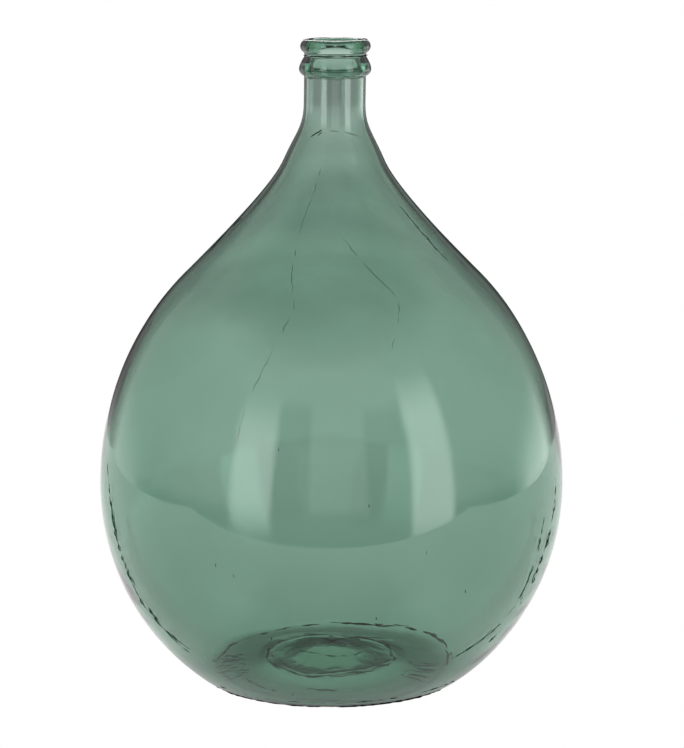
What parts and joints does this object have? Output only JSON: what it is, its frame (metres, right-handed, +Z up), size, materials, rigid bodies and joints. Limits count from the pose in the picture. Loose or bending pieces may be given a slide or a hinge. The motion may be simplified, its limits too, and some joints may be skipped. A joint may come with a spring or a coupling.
{
  "type": "glass carboy",
  "caption": "Blown green glass carboy with an onion-shaped bulb, a thick straight neck, a collar ring and a rounded lip, on a pushed-up base.",
  "frame": {"origin": "middle of the circle that the carboy stands on, at the level of the table", "axes": "+Z up along the body towards the mouth; the neck leans about 4 mm towards +X at the top; -Y is the side that faces the viewer"},
  "size_m": [0.406, 0.406, 0.56],
  "materials": {
    "green_glass": "glossy, pale grey-green recycled glass with small seeds and waves"
  },
  "bodies": {
    "root": {"bulb": "green_glass", "neck": "green_glass", "collar_ring": "green_glass", "lip_ring": "green_glass", "base_disc": "green_glass"}
  },
  "joints": []
}
